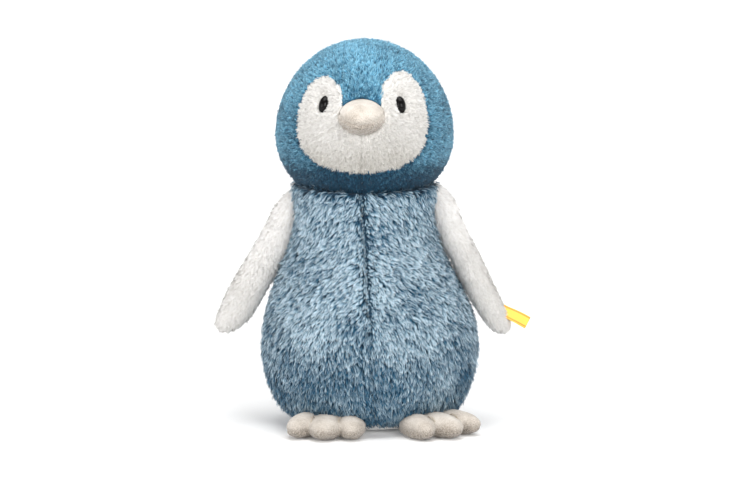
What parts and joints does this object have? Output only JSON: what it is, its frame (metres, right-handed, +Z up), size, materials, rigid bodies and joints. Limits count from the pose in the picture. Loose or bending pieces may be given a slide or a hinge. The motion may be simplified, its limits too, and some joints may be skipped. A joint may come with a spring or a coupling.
{
  "type": "plush penguin",
  "caption": "Stuffed penguin that stands on a flat weighted base; head turns and nods, wings lift and swing, feet flex.",
  "frame": {"origin": "centre of the flat base, on the surface that the toy stands on", "axes": "+Z up; the penguin faces -Y; +X is its own left"},
  "size_m": [0.2426, 0.1635, 0.2985],
  "materials": {
    "blue_plush": "long combed pile, dark at the roots and pale at the tips",
    "white_plush": "short dense pile",
    "beige_velour": "smooth velour with a fine nap",
    "fibre_filling": "loose polyester fibre",
    "pouch_cloth": "plain woven cotton",
    "pellets": "small plastic pellets",
    "black_gloss": "polished",
    "washer_plastic": "moulded",
    "blue_thread": "twisted sewing thread",
    "white_thread": "twisted sewing thread",
    "beige_thread": "twisted sewing thread",
    "yellow_ribbon": "woven satin ribbon with thin orange edge lines"
  },
  "bodies": {
    "torso": {"belly_panel_left": "blue_plush", "belly_panel_right": "blue_plush", "back_panel_left": "blue_plush", "back_panel_right": "blue_plush", "base_panel": "blue_plush", "body_filling": "fibre_filling", "pellet_pouch": "pouch_cloth", "pellet_fill": "pellets", "closing_thread": "blue_thread"},
    "neck": {"neck_thread": "blue_thread"},
    "head": {"head_panel_left": "blue_plush", "head_panel_right": "blue_plush", "crown_gusset": "blue_plush", "face_panel_left": "white_plush", "face_panel_right": "white_plush", "head_filling": "fibre_filling", "beak_upper": "beige_velour", "beak_lower": "beige_velour", "beak_filling": "fibre_filling", "eye_left": "black_gloss", "eye_right": "black_gloss", "eye_washer_left": "washer_plastic", "eye_washer_right": "washer_plastic"},
    "shoulder_left": {"wing_thread_left": "white_thread"},
    "wing_left": {"wing_front_left": "white_plush", "wing_back_left": "white_plush", "wing_filling_left": "fibre_filling"},
    "shoulder_right": {"wing_thread_right": "white_thread"},
    "wing_right": {"wing_front_right": "white_plush", "wing_back_right": "white_plush", "wing_filling_right": "fibre_filling"},
    "label": {"woven_label": "yellow_ribbon"},
    "foot_left": {"foot_top_left": "beige_velour", "foot_sole_left": "beige_velour", "foot_filling_left": "fibre_filling", "toe_thread_left": "beige_thread"},
    "foot_right": {"foot_top_right": "beige_velour", "foot_sole_right": "beige_velour", "foot_filling_right": "fibre_filling", "toe_thread_right": "beige_thread"}
  },
  "joints": [
    {"name": "neck_turn", "type": "hinge", "parent": "torso", "child": "neck", "pos_m": [-0.004, 0, 0.226], "axis": [0, 0, 1], "range_deg": [-20, 20], "stiffness_Nm_per_rad": 0.4},
    {"name": "head_nod", "type": "hinge", "parent": "neck", "child": "head", "pos_m": [-0.004, 0, 0.226], "axis": [1, 0, 0], "range_deg": [-10, 10], "stiffness_Nm_per_rad": 1},
    {"name": "wing_swing_left", "type": "hinge", "parent": "torso", "child": "shoulder_left", "pos_m": [0.058, 0, 0.165], "axis": [0, 0, -1], "range_deg": [-25, 25], "stiffness_Nm_per_rad": 0.02},
    {"name": "wing_lift_left", "type": "hinge", "parent": "shoulder_left", "child": "wing_left", "pos_m": [0.058, 0, 0.165], "axis": [0, -1, 0], "range_deg": [0, 70]},
    {"name": "wing_swing_right", "type": "hinge", "parent": "torso", "child": "shoulder_right", "pos_m": [-0.0635, 0, 0.163], "axis": [0, 0, 1], "range_deg": [-25, 25], "stiffness_Nm_per_rad": 0.02},
    {"name": "wing_lift_right", "type": "hinge", "parent": "shoulder_right", "child": "wing_right", "pos_m": [-0.0635, 0, 0.163], "axis": [0, 1, 0], "range_deg": [0, 70]},
    {"name": "foot_flex_left", "type": "hinge", "parent": "torso", "child": "foot_left", "pos_m": [0.04908, -0.04012, 0.0178], "axis": [-0.809, -0.5878, 0], "range_deg": [0, 15], "stiffness_Nm_per_rad": 0.1},
    {"name": "foot_flex_right", "type": "hinge", "parent": "torso", "child": "foot_right", "pos_m": [-0.03018, -0.05177, 0.0178], "axis": [-0.9925, 0.1219, 0], "range_deg": [0, 15], "stiffness_Nm_per_rad": 0.1},
    {"name": "label_flex", "type": "hinge", "parent": "wing_left", "child": "label", "pos_m": [0.10608, 0, 0.09178], "axis": [0.4478, 0, -0.8942], "range_deg": [-50, 50], "stiffness_Nm_per_rad": 0.0003}
  ]
}
